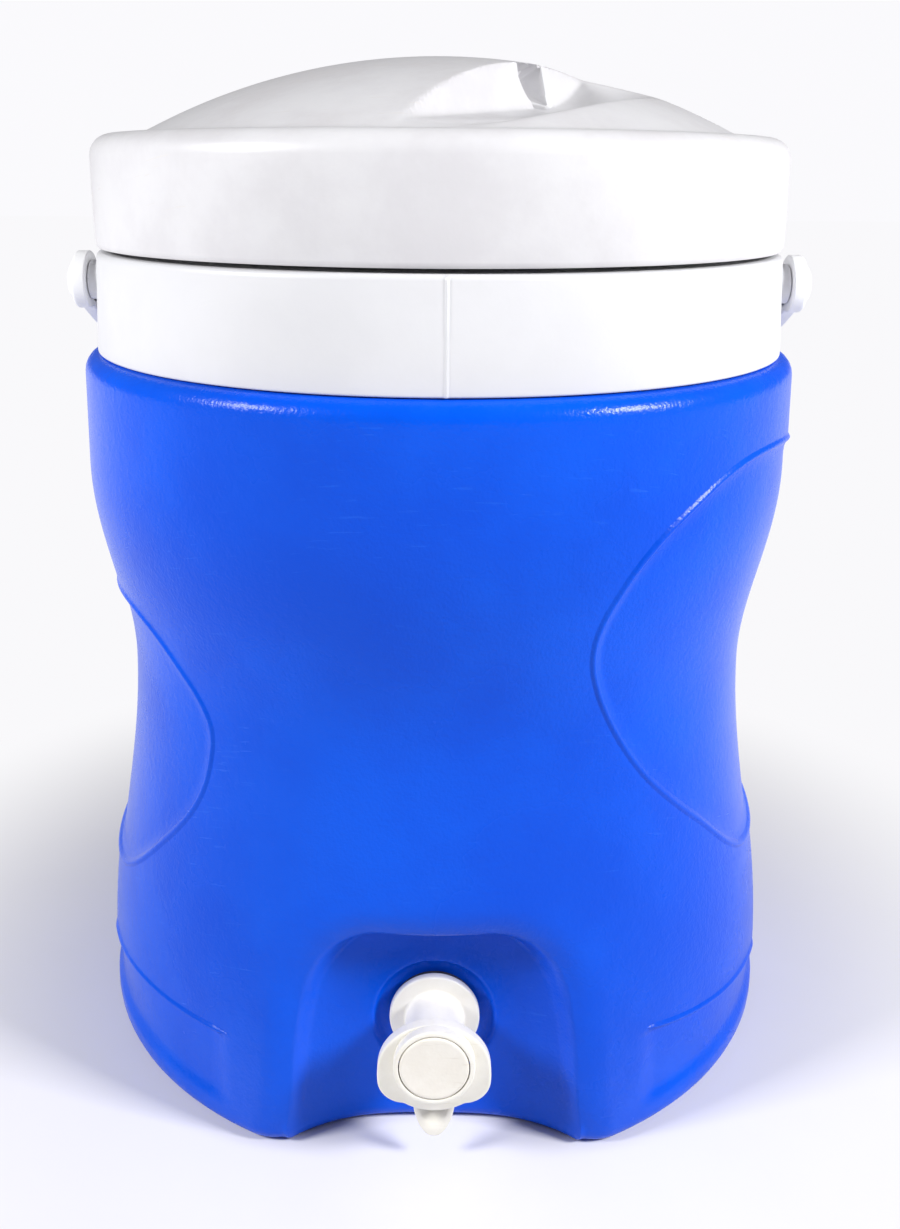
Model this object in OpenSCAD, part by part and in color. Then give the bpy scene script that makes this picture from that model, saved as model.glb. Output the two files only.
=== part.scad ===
// Insulated beverage jug with a twist-off lid, a bail handle and a push-button spigot.
// Z is up, -Y is the spigot side, and the origin is the centre of the flat base.

/* [Body] */
// Radius of the foot
foot_r = 139.2; // [138:0.1:141]
// Height where the foot starts to draw in
foot_z = 24; // [20:1:30]
// Radius of the waist
waist_r = 127.2; // [125:0.1:131]
// Height of the waist
waist_z = 150; // [140:1:160]
// Radius of the shoulder
shoulder_r = 140.3; // [139:0.1:141]
// Height where the shoulder reaches its full radius
shoulder_z = 232; // [222:1:240]
// Height of the shoulder's top, where the collar sits
body_h = 274; // [268:1:278]
// Wall of the blown shell
shell_wall = 3; // [2:0.1:3.2]

/* [Vessel] */
// Outer radius of the inner vessel
liner_r = 114.5; // [112:0.1:114.8]
// Wall of the inner vessel
liner_wall = 2.5; // [2:0.1:3]
// Height of the inner vessel's outer bottom
liner_z = 14; // [10:0.5:20]
// Height of the vessel's mouth
mouth_z = 328; // [326:0.5:330]

/* [Spigot recess] */
// Depth plane of the recess's rear wall, measured from the axis
recess_y = 112; // [110:0.5:116]
// Height of the recess
recess_h = 88; // [84:1:92]
// Half width of the recess at the floor
recess_w = 58; // [54:1:60]
// Height of the spigot's axis
spigot_z = 44.5; // [43:0.5:47]

/* [Collar] */
// Outer radius of the collar at its bottom edge
collar_r = 135.3; // [134.8:0.1:136]
// Height of the collar's top face
collar_top = 312; // [311:0.5:312.5]
// Height of the handle's pivot
pivot_z = 298.5; // [294:0.5:300]

/* [Lid] */
// Outer radius of the lid's skirt
lid_r = 135; // [134:0.1:136]
// Height of the skirt's lower edge
lid_z = 313.6; // [313.2:0.1:315]
// Height of the lid's flat rim
lid_top = 355.2; // [350:0.2:356]
// Height of the dome's crest
crest_z = 385.6; // [382:0.2:390]
// Radius of the dome's sphere
dome_r = 238; // [225:1:260]
// Wall of the lid's moulding
lid_wall = 2.5; // [2:0.1:3]

/* [Handle] */
// Inner radius of the bail
bail_r = 141.5; // [141.3:0.1:144]
// Thickness of the strap
bail_t = 5.5; // [4:0.1:6]
// Width of the strap
bail_w = 18; // [14:0.5:20]
// Straight length between the pivot and the curve
bail_leg = 20; // [20:1:40]
// Angle that the resting bail hangs below level
droop = 25; // [20:0.5:25.5]

/* [Hidden] */
$fn = 96;

gap = 0.3;            // bond line between the foam and the walls round it
cut = 1;              // how far a cutter runs past the face that it opens
band = 8;             // height of one step of the body's profile
foot_fillet = 6;
shoulder_fillet = 7;
neck_r = 131.5;       // outside of the shell's neck, inside the collar
neck_z = 305.4;       // top of the shell's neck
collar_bore = 132.3;
flange_z = 305.7;     // underside of the vessel's flange
flange_t = 2.7;
foam_t = 7.5;         // foam between the recess and the vessel
liner_corner = 6;
neck_fit = 0.7;       // clearance round the vessel's neck in the collar
plug_at = [0, 70, 0]; // hole in the base that the foam is cast through
foam_plug_r = 9;
foam_plug_lip = 2;
plug_inset = 0.5;

seat_d = 2.5;         // depth of the sunken ring round the spigot
seat_r = 21.5;
seat_y = recess_y - seat_d;
tail_r = 10;          // outside of the spigot's threaded tail
tail_fit = 0.2;       // clearance of the holes that the tail passes through
tail_y = 80;          // inner end of the tail
washer_t = 2;
outer_washer_r = 15.5;
inner_washer_r = 16;
sleeve_r = 12.7;
spigot_flange_t = 3;
barrel_r = 10.3;
barrel_bore = 7;
plate_y = 133;        // rear of the finger plate
plate_t = 4;
plate_front = plate_y + plate_t;
head_r = 12.6;        // where the barrel's flare meets the plate
ring_r = 14;
button_y = 141;       // front face of the bezel
button_r = 12;
ring_bore = button_r + gap;
ring_seat_r = ring_bore + 0.6;
ring_seat_y = plate_front - 1.5;
web_y = 123;          // internal web that guides the stem
web_t = 3;
stem_r = 2.5;
stem_fit = 0.08;
spout_r = 7.5;
spout_bore = 5.5;
spout_tilt = 27;
spout_y = 122;
mouth_y = 131.5;      // the spout's mouth is cut off upright here
spout_root = 50;      // longer than the spout's longest side
liner_face = recess_y - shell_wall - foam_t - seat_d - liner_wall;
nut_t = 8.5;
face_t = 2.8;         // thickness of the button's face
seal_t = 3;
seal_r = 9;
clip_t = 1;
clip_r = 4.5;
seal_from = tail_y - 0.05;    // the seal's face, just clear of the tail's end
spring_r = 5.6;
wire_r = 0.45;
spring_turns = 6;
spring_from = web_y + web_t + wire_r;
spring_to = button_y - face_t - wire_r;
spring_sides = 8;
spring_rings = spring_turns * 18;

pin_r = 4;
pin_fit = 0.08;
boss_r = 8;
boss_x = bail_r - gap;
eye_r = 11.6;

skirt_bottom_r = lid_r - 0.8;
thread_r = 118.2;     // inside of the lid's threaded skirt
thread_wall = 2.5;
lug_h = 2.4;
lug_count = 4;
plug_r = 110;         // outside of the pan's plug, inside the mouth
plug_z = 305.2;
gasket_t = 2.6;
gasket_fit = 1.4;     // clearance between the gasket and the pan's plug
pan_z = mouth_z + gasket_t + 0.2;
pan_t = 2.5;
dome_c = crest_z - dome_r;
bar_turn = 30;        // how far the grip's bar is turned from the depth axis
bar_half = 41;        // half width of the bar between the wells
well_r = 60;
well_at = [62, 0, 423.4];      // rear end of a well's axis, in the bar's own frame
well_fall = 4.2;      // slope of that axis, down to the lid's rim
pocket_r = 7.8;
pocket_z = 373;
pocket_along = [-10.5, 0.5];  // the finger pocket's two ends along the bar
pocket_deep = [26, 46];       // its closed end and its open end, across the bar

// Half-cosine blend from a to b as t goes from 0 to 1
function blend(a, b, t) = a + (b - a) * (1 - cos(180 * t)) / 2;

// Radius of the shell at height z
function body_r(z) =
    z <= foot_z ? foot_r
    : z <= waist_z ? blend(foot_r, waist_r, (z - foot_z) / (waist_z - foot_z))
    : z <= shoulder_z ? blend(waist_r, shoulder_r, (z - waist_z) / (shoulder_z - waist_z))
    : shoulder_r;

// Points of an arc about c, from angle a to angle b
function arc(c, r, a, b, n = 8) =
    [for (i = [0 : n]) c + r * [cos(a + (b - a) * i / n), sin(a + (b - a) * i / n)]];

// Heights of the steps between two levels
function steps(a, b) = [for (i = [1 : floor((b - a) / band)]) a + i * (b - a) / floor((b - a) / band)];

// Half outline of the body, drawn in by t, up to the shoulder's top
function body_outline(t) = concat(
    [[0, t]],
    arc([foot_r - foot_fillet, foot_fillet], foot_fillet - t, -90, 0, 5),
    [[foot_r - t, foot_z]],
    [for (z = concat(steps(foot_z, waist_z), steps(waist_z, shoulder_z))) [body_r(z) - t, z]],
    arc([shoulder_r - shoulder_fillet, body_h - shoulder_fillet], shoulder_fillet - t, 0, 90, 5),
    [[neck_r - t, body_h - t]]
);

// A round bar along Y, between two depths measured towards the front
module along_y(r, from, to, z = spigot_z, x = 0) {
    translate([x, -from, z]) rotate([90, 0, 0]) cylinder(r = r, h = to - from);
}

module pipe(r, bore, h) {
    difference() {
        cylinder(r = r, h = h);
        translate([0, 0, -cut]) cylinder(r = bore, h = h + 2 * cut);
    }
}

// The recess that the spigot stands in, grown by g for the layers behind it
module recess(g) {
    corner = 26;
    lift = recess_h - corner;
    side = 51;
    sweep = 70;
    flat = 12;
    intersection() {
        rotate([90, 0, 0]) linear_extrude(height = 2 * shoulder_r)
            polygon(concat(
                [[-recess_w - g, -cut]],
                arc([corner - side, lift], corner + g, 180, 90),
                arc([side - corner, lift], corner + g, 90, 0),
                [[recess_w + g, -cut]]
            ));
        translate([0, 0, -2 * cut]) linear_extrude(height = 2 * recess_h)
            polygon(concat(
                [[-recess_w - 4 * g - cut, -2 * shoulder_r]],
                arc([-flat, -recess_y - sweep], sweep + g, 130, 90),
                arc([flat, -recess_y - sweep], sweep + g, 90, 50),
                [[recess_w + 4 * g + cut, -2 * shoulder_r]]
            ));
    }
    along_y(seat_r + g, seat_y - g, recess_y + cut);
}

// The solid inside the body's outline, drawn in by t, with its neck carried up to top
module body_form(t, top) {
    difference() {
        rotate_extrude() polygon(concat(body_outline(t), [[neck_r - t, top], [0, top]]));
        recess(t);
    }
}

module outer_shell() {
    color("royalblue") difference() {
        body_form(0, neck_z);
        body_form(shell_wall, neck_z + cut);
        along_y(tail_r + tail_fit, 0, recess_y);
        translate(plug_at) translate([0, 0, -cut]) cylinder(r = foam_plug_r, h = shell_wall + 2 * cut);
    }
}

module foam_plug() {
    color("royalblue") translate(plug_at) {
        translate([0, 0, plug_inset]) cylinder(r = foam_plug_r, h = shell_wall - plug_inset);
        translate([0, 0, shell_wall]) cylinder(r = foam_plug_r + foam_plug_lip, h = foam_plug_lip);
    }
}

// The vessel's form, drawn in by t
module liner_form(t, top) {
    corner = liner_corner;
    difference() {
        rotate_extrude() polygon(concat(
            [[0, liner_z + t]],
            arc([liner_r - corner, liner_z + corner], corner - t, -90, 0),
            [[liner_r - t, top], [0, top]]
        ));
        recess(shell_wall + foam_t + t);
    }
}

module shell_foam() {
    color("khaki") difference() {
        body_form(shell_wall + gap, neck_z);
        liner_form(-gap, neck_z + cut);
        along_y(sleeve_r + gap, 0, recess_y);
        translate(plug_at)
            cylinder(r = foam_plug_r + foam_plug_lip + gap, h = shell_wall + foam_plug_lip + gap);
    }
}

// One ring of thread lugs, standing out from radius a to radius b
module lugs(a, b, z) {
    for (i = [0 : lug_count - 1]) rotate([0, 0, i * 360 / lug_count])
        rotate_extrude(angle = 50) polygon([[a, z - lug_h / 2], [a, z + lug_h / 2],
            [b, z + lug_h / 4], [b, z - lug_h / 4]]);
}

module inner_liner() {
    lug_z = 321;
    color("white") {
        difference() {
            union() {
                liner_form(0, mouth_z);
                translate([0, 0, flange_z]) cylinder(r = neck_r - gap, h = flange_t);
            }
            liner_form(liner_wall, mouth_z + cut);
            along_y(tail_r + tail_fit, 0, recess_y);
        }
        lugs(liner_r - 0.5, liner_r + 2.1, lug_z);
    }
}

module collar() {
    round_r = 1.6;
    top_r = collar_r - 1.1;
    flange = 3;
    flange_bore = liner_r + neck_fit;
    color("white") difference() {
        union() {
            rotate_extrude() polygon(concat(
                [[collar_bore, body_h + gap], [collar_r, body_h + gap]],
                arc([top_r - round_r, collar_top - round_r], round_r, 0, 90, 4),
                [[flange_bore, collar_top], [flange_bore, collar_top - flange],
                 [collar_bore, collar_top - flange]]
            ));
            for (s = [-1, 1]) translate([s * (collar_bore + 0.1), 0, pivot_z])
                rotate([0, s * 90, 0]) cylinder(r = boss_r, h = boss_x - collar_bore - 0.1);
        }
        for (s = [-1, 1]) translate([s * (collar_bore - cut), 0, pivot_z])
            rotate([0, s * 90, 0]) cylinder(r = pin_r, h = 20);
    }
}

// A snap pin through the bail's eye, on side s
module pivot_pin(s) {
    head_r = 8;
    head_t = 3.2;
    head_x = bail_r + bail_t + gap;
    color("white") translate([0, 0, pivot_z]) rotate([0, s * 90, 0]) {
        translate([0, 0, collar_bore + 0.3]) cylinder(r = pin_r, h = head_x - collar_bore);
        dome = (head_r * head_r + head_t * head_t) / (2 * head_t);
        intersection() {
            translate([0, 0, head_x]) cylinder(r = head_r, h = head_t + cut);
            translate([0, 0, head_x + head_t - dome]) sphere(r = dome);
        }
    }
}

module pivot_pin_left() { pivot_pin(-1); }
module pivot_pin_right() { pivot_pin(1); }

// Outline of the strap, inside radius a and outside radius b
module strap(a, b) {
    polygon(concat(
        [[b, 0]], arc([0, bail_leg], b, 0, 180, 48), [[-b, 0]],
        [[-a, 0]], arc([0, bail_leg], a, 180, 0, 48), [[a, 0]]
    ));
}

module bail_handle() {
    grip_a = 62;
    grip_t = 3;
    grip_w = 24;
    color("white") translate([0, 0, pivot_z]) rotate([-droop, 0, 0]) difference() {
        union() {
            translate([0, 0, -bail_w / 2]) linear_extrude(height = bail_w)
                strap(bail_r, bail_r + bail_t);
            translate([0, 0, -grip_w / 2]) linear_extrude(height = grip_w)
                polygon(concat(
                    arc([0, bail_leg], bail_r + bail_t + grip_t, grip_a, 180 - grip_a, 16),
                    arc([0, bail_leg], bail_r, 180 - grip_a, grip_a, 16)
                ));
            for (s = [-1, 1]) translate([s * bail_r, 0, 0]) rotate([0, s * 90, 0])
                cylinder(r = eye_r, h = bail_t);
        }
        for (s = [-1, 1]) translate([s * (bail_r - cut), 0, 0]) rotate([0, s * 90, 0])
            cylinder(r = pin_r + pin_fit, h = bail_t + 2 * cut);
    }
}

// The well on each side of the grip's bar, with the finger pocket that runs under the bar, grown by g
module wells(g) {
    reach = 2 * lid_r;
    deep = pocket_deep[1] - pocket_deep[0] + g;
    for (a = [0, 180]) rotate([0, 0, a - bar_turn]) {
        intersection() {
            translate(well_at) {
                sphere(r = well_r + g);
                rotate([90 + well_fall, 0, 0]) cylinder(r = well_r + g, h = reach);
            }
            translate([bar_half - g, -reach, lid_z]) cube([reach, 2 * reach, reach]);
        }
        for (along = pocket_along) translate([pocket_deep[0] - g, along, pocket_z])
            rotate([0, 90, 0]) cylinder(r = pocket_r + g, h = deep);
        translate([pocket_deep[0] - g, pocket_along[0], pocket_z - pocket_r - g])
            cube([deep, pocket_along[1] - pocket_along[0], 2 * (pocket_r + g)]);
    }
}

// The dome over the lid, drawn in by t
module dome(t) {
    intersection() {
        translate([0, 0, dome_c]) sphere(r = dome_r - t);
        translate([0, 0, lid_top - 10]) cylinder(r = lid_r - 10, h = 60);
    }
}

module lid_shell() {
    edge = 8;
    inner_edge = edge - lid_wall;
    color("white") difference() {
        union() {
            rotate_extrude() polygon(concat(
                [[0, lid_z], [skirt_bottom_r - 1.5, lid_z], [skirt_bottom_r, lid_z + 1.5]],
                arc([lid_r - edge, lid_top - edge], edge, 0, 90),
                [[0, lid_top]]
            ));
            dome(0);
        }
        difference() {
            union() {
                rotate_extrude() polygon(concat(
                    [[0, lid_z - cut], [skirt_bottom_r - lid_wall, lid_z - cut]],
                    arc([lid_r - edge, lid_top - edge], inner_edge, 0, 90),
                    [[0, lid_top - lid_wall]]
                ));
                dome(lid_wall);
            }
            wells(lid_wall);
        }
        wells(0);
    }
}

module lid_pan() {
    rim_r = lid_r - lid_wall - 0.8;
    lug_z = 317.2;
    color("white") {
        difference() {
            union() {
                translate([0, 0, pan_z]) cylinder(r = rim_r, h = pan_t);
                translate([0, 0, plug_z]) cylinder(r = plug_r, h = pan_z + pan_t - plug_z);
            }
            translate([0, 0, plug_z + pan_t]) cylinder(r = plug_r - pan_t, h = 60);
        }
        translate([0, 0, lid_z + 1]) pipe(thread_r + thread_wall, thread_r, pan_z - lid_z - 1);
        lugs(thread_r + 0.5, thread_r - 0.9, lug_z);
    }
}

module lid_foam() {
    edge = 8;
    inset = lid_wall + gap;
    color("khaki") difference() {
        union() {
            translate([0, 0, plug_z + pan_t + gap])
                cylinder(r = plug_r - pan_t - gap, h = pan_z - plug_z + cut);
            rotate_extrude() polygon(concat(
                [[0, pan_z + pan_t + gap], [lid_r - inset - 0.8, pan_z + pan_t + gap]],
                arc([lid_r - edge - 0.5, lid_top - edge], edge - inset, 0, 90),
                [[0, lid_top - inset]]
            ));
            dome(inset);
        }
        wells(inset);
    }
}

module lid_gasket() {
    overlap = 2;
    color("dimgray") translate([0, 0, mouth_z]) pipe(liner_r + overlap, plug_r + gasket_fit, gasket_t);
}

module wall_sleeve() {
    color("white") difference() {
        along_y(sleeve_r, liner_face + liner_wall + gap, recess_y - shell_wall - seat_d - gap);
        along_y(tail_r + tail_fit, 0, recess_y);
    }
}

module outer_washer() {
    color("dimgray") difference() {
        along_y(outer_washer_r, seat_y, seat_y + washer_t);
        along_y(tail_r + tail_fit, 0, recess_y);
    }
}

module inner_washer() {
    color("dimgray") difference() {
        along_y(inner_washer_r, liner_face - washer_t, liner_face);
        along_y(tail_r + tail_fit, 0, recess_y);
    }
}

module lock_nut() {
    grips = 8;
    grip = 3;
    hub_r = 13.5;
    rim_t = 2.5;
    from = liner_face - washer_t - nut_t;
    color("white") difference() {
        union() {
            along_y(inner_washer_r, from + nut_t - rim_t, from + nut_t);
            along_y(hub_r, from, from + nut_t);
            for (i = [0 : grips - 1]) translate([0, -from, spigot_z]) rotate([90, i * 360 / grips, 0])
                translate([hub_r - 1, -grip / 2, 0]) cube([grip, grip, nut_t]);
        }
        along_y(tail_r + 0.1, 0, recess_y);
    }
}

// Outline of the finger plate: the upper half of an ellipse over two rounded lobes
module plate_outline() {
    half_w = 19.6;
    rise = 18.5;
    middle = -4.6;
    low = -17.3;
    corner = 9;
    polygon(concat(
        [for (i = [0 : 32]) [half_w * cos(180 * i / 32), middle + rise * sin(180 * i / 32)]],
        arc([corner - half_w, corner + low], corner, 180, 270),
        arc([half_w - corner, corner + low], corner, 270, 360)
    ));
}

module spout_bar(r, from, to) {
    translate([0, -spout_y, spigot_z]) rotate([-spout_tilt, 0, 0])
        translate([0, 0, -to]) cylinder(r = r, h = to - from);
}

module spigot_body() {
    flange_r = 16.2;
    spring_well_r = 9;
    flare = 3;
    button_floor = 1;     // plate left behind the button's cavity
    flange_y = seat_y + washer_t;
    color("ivory") difference() {
        union() {
            along_y(tail_r, tail_y, flange_y);
            along_y(flange_r, flange_y, flange_y + spigot_flange_t);
            along_y(barrel_r, flange_y, plate_y);
            translate([0, flare - plate_y, spigot_z]) rotate([90, 0, 0])
                cylinder(r1 = barrel_r, r2 = head_r, h = flare);
            translate([0, -plate_y, spigot_z]) rotate([90, 0, 0])
                linear_extrude(height = plate_t) plate_outline();
            intersection() {
                spout_bar(spout_r, 0, spout_root);
                translate([-spout_root, -mouth_y, 0]) cube(2 * spout_root);
            }
        }
        along_y(barrel_bore, 0, web_y);
        along_y(stem_r + stem_fit, 0, button_y);
        along_y(spring_well_r, web_y + web_t, button_y);
        along_y(ring_bore, plate_y + button_floor, button_y);
        along_y(ring_seat_r, ring_seat_y, button_y);
        intersection() {
            spout_bar(spout_bore, 0, 2 * spout_root);
            translate([-spout_root, -plate_y, 0]) cube([2 * spout_root, spout_root, spigot_z - barrel_bore / 2]);
        }
    }
}

module spigot_bezel() {
    color("ivory") difference() {
        union() {
            along_y(ring_r, plate_front, button_y);
            along_y(ring_seat_r, ring_seat_y, plate_front);
        }
        along_y(ring_bore, 0, button_y + cut);
    }
}

module spigot_button() {
    back = button_y - face_t;
    boss_r = 4;
    boss_t = 5;
    cup_r = 8.4;
    cup_bore = 7.4;
    cup_t = 3;
    proud = 0.2;
    color("white") difference() {
        union() {
            along_y(button_r, back, button_y + proud);
            along_y(boss_r, back - boss_t, back);
            difference() {
                along_y(cup_r, back - cup_t, back);
                along_y(cup_bore, 0, back);
            }
        }
        along_y(stem_r, 0, back);
    }
}

module spigot_stem() {
    color("lightgray") {
        along_y(stem_r, seal_from - seal_t - 2 * clip_t - cut, button_y - face_t);
        along_y(2 * stem_r, seal_from - seal_t - clip_t, seal_from - seal_t);
    }
}

module valve_seal() {
    color("dimgray") difference() {
        along_y(seal_r, seal_from - seal_t, seal_from);
        along_y(stem_r, 0, button_y);
    }
}

module seal_clip() {
    color("lightgray") difference() {
        along_y(clip_r, seal_from - seal_t - 2 * clip_t, seal_from - seal_t - clip_t);
        along_y(stem_r, 0, button_y);
    }
}

// Point j of the ring round place i on the spring's helix, which runs along Y
function coil_point(i, j) =
    let (a = 360 * spring_turns * i / spring_rings, b = 360 * j / spring_sides,
         r = spring_r + wire_r * cos(b))
    [r * cos(a), -(spring_from + (spring_to - spring_from) * i / spring_rings) + wire_r * sin(b),
     spigot_z + r * sin(a)];

module spigot_spring() {
    n = spring_sides;
    color("silver") polyhedron(
        points = [for (i = [0 : spring_rings]) for (j = [0 : n - 1]) coil_point(i, j)],
        faces = concat(
            [[for (j = [0 : n - 1]) j]],
            [for (i = [0 : spring_rings - 1]) for (j = [0 : n - 1])
                [i * n + (j + 1) % n, i * n + j, (i + 1) * n + j, (i + 1) * n + (j + 1) % n]],
            [[for (j = [n - 1 : -1 : 0]) spring_rings * n + j]]
        )
    );
}

outer_shell();
shell_foam();
inner_liner();
foam_plug();
collar();
bail_handle();
pivot_pin_left();
pivot_pin_right();
lid_shell();
lid_foam();
lid_pan();
lid_gasket();
wall_sleeve();
outer_washer();
spigot_body();
spigot_bezel();
spigot_button();
spigot_stem();
spigot_spring();
valve_seal();
seal_clip();
inner_washer();
lock_nut();
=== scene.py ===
import math

import bmesh
import bpy
import numpy as np
from mathutils import Matrix, Vector


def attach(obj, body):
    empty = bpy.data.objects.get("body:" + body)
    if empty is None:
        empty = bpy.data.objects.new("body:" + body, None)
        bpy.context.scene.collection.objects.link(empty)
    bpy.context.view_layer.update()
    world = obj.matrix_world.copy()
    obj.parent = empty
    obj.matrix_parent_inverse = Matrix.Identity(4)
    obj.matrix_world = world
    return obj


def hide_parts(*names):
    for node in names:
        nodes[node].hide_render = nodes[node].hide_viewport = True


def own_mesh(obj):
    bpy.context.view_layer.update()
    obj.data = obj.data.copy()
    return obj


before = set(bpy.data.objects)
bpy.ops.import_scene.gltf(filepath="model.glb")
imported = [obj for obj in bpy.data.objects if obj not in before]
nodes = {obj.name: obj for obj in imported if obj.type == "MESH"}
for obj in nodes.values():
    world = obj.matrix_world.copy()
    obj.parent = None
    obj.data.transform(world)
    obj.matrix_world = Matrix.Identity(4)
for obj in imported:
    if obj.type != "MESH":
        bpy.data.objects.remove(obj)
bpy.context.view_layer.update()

# ---------------------------------------------------------------------------------------------------
# The blue shell: one blow-moulded polyethylene bottle with a drawn-in waist, a wide oval field on each
# side, an arched bay at the front that the spigot stands in, and a neck that the collar covers. It is
# filled with foam through the hole in its base.

FOOT_R = 139.2
FOOT_Z = 24
FOOT_FILLET = 6
WAIST_R = 127.2
WAIST_Z = 150
SHOULDER_R = 140.3
SHOULDER_Z = 232
SHOULDER_FILLET = 7
BODY_TOP = 274
NECK_R = 131.5
NECK_TOP = 305.4
SHELL_WALL = 3
SPIGOT_Z = 44.5
BAY_REAR = 112
BAY_SWEEP = 13.2
BAY_HALF = 53.1
SEAT_Z = 43.2
SEAT_RING = 22.8
SEAT_DEPTH = 2.5
BAY_TOP = 88
BAY_ROLL = 11
BAY_LIP = 3.4
PLUG_AT = 70
PLUG_HOLE_R = 9
UNROLL_R = 137  # radius at which the wall is laid out flat


def skin(name, *patches):
    """One mesh from grids of points in millimetres. Every grid closes round its columns, and round its
    rows too where it says so. A row that shrinks to a point is welded, and each grid faces outwards."""
    points, faces, start = [], [], 0
    for grid, ring in patches:
        rows, columns = grid.shape[:2]
        i = np.arange(rows if ring else rows - 1)[:, None]
        j = np.arange(columns)[None, :]
        up, side = (i + 1) % rows, (j + 1) % columns
        quads = np.stack([i * columns + j, i * columns + side, up * columns + side, up * columns + j], -1)
        quads = quads.reshape(-1, 4)
        flat = grid.reshape(-1, 3)
        a, b, c, d = (flat[quads[:, k]] for k in range(4))
        volume = (a * np.cross(b, c)).sum() + (a * np.cross(c, d)).sum()
        faces.append((quads if volume > 0 else quads[:, ::-1]) + start)
        points.append(flat)
        start += len(flat)
    mesh = bpy.data.meshes.new(name)
    mesh.from_pydata((np.concatenate(points) / 1000).tolist(), [], np.concatenate(faces).tolist())
    weld = bmesh.new()
    weld.from_mesh(mesh)
    bmesh.ops.remove_doubles(weld, verts=weld.verts, dist=2e-6)
    bmesh.ops.dissolve_degenerate(weld, edges=weld.edges, dist=1e-7)
    weld.to_mesh(mesh)
    weld.free()
    mesh.shade_smooth()
    mesh.set_sharp_from_angle(angle=math.radians(38))
    piece = bpy.data.objects.new(name, mesh)
    bpy.context.scene.collection.objects.link(piece)
    return piece


def ease(t):
    """Goes from 0 to 1 with level ends as t does: three t squared less two t cubed."""
    t = np.clip(t, 0, 1)
    return t * t * (3 - 2 * t)


def swell(a, b, t):
    """Half a cosine wave from a to b as t goes from 0 to 1."""
    return a + (b - a) * (1 - np.cos(np.pi * np.clip(t, 0, 1))) / 2


def round_the_jug(radius, turn, z):
    """Places radius and height at an angle turned from the front towards +X."""
    radius, turn, z = np.broadcast_arrays(radius, turn, z)
    return np.stack([radius * np.sin(turn), -radius * np.cos(turn), z], -1)


def profile_radius(z):
    """Body radius: a plain foot, a half cosine in to the waist, and another out to the shoulder."""
    low = swell(FOOT_R, WAIST_R, (z - FOOT_Z) / (WAIST_Z - FOOT_Z))
    return np.where(z < WAIST_Z, low, swell(WAIST_R, SHOULDER_R, (z - WAIST_Z) / (SHOULDER_Z - WAIST_Z)))


def closed_curve(knots, per_knot=30):
    """A smooth closed curve through the knots: cubic pieces whose slope at a knot is half the step
    between its neighbours."""
    p = np.array(knots, float)
    slope = (np.roll(p, -1, 0) - np.roll(p, 1, 0)) / 2
    t = (np.arange(per_knot) / per_knot)[None, :, None]
    a, b, m, n = p[:, None], np.roll(p, -1, 0)[:, None], slope[:, None], np.roll(slope, -1, 0)[:, None]
    out = (2 * t**3 - 3 * t**2 + 1) * a + (t**3 - 2 * t**2 + t) * m
    out = out + (3 * t**2 - 2 * t**3) * b + (t**3 - t**2) * n
    return out.reshape(-1, 2)


def unrolled(knots):
    """Angles in degrees and heights as places on the wall laid out flat, in millimetres."""
    return [(math.radians(turn) * UNROLL_R, z) for turn, z in knots]


RIGHT_OVAL = closed_curve(unrolled([
    (23.4, 182), (26.5, 211), (36, 232.5), (52, 246), (80, 240.5), (112, 218), (136, 182),
    (140, 140), (122, 104), (92, 80), (66, 81), (48.5, 108), (33, 141)]))
LEFT_OVAL = closed_curve(unrolled([
    (-38.8, 142), (-40.2, 154), (-46, 167), (-54, 178.5), (-66, 183), (-90, 178), (-118, 158),
    (-130, 128), (-120, 96), (-98, 72), (-76, 66), (-62.5, 74.5), (-49, 100), (-41.5, 121)]))
OVAL_DEPTH = 1.4


def inside_oval(curve, s, z):
    """How far a place lies inside a closed curve, along the line from the curve's middle."""
    middle = curve.mean(0)
    offset = curve - middle
    bearing = np.arctan2(offset[:, 1], offset[:, 0])
    reach = np.interp(
        np.arctan2(z - middle[1], s - middle[0]), bearing[np.argsort(bearing)],
        np.hypot(*offset.T)[np.argsort(bearing)], period=2 * np.pi)
    return reach - np.hypot(s - middle[0], z - middle[1])


PANEL_DEPTH = 2.1
PANEL_LINES = {1: (64, 31, 35, 40.6), -1: (66, 34, 34, 38.6)}


def panel_line(side, turn):
    """Height of the line over the foot panel on one side, with a slight sag between its ends."""
    far, far_z, near, near_z = PANEL_LINES[side]
    t = (np.degrees(np.abs(turn)) - near) / (far - near)
    return near_z + (far_z - near_z) * t - 3.2 * side * np.clip(t, 0, 1) * (1 - np.clip(t, 0, 1))


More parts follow.
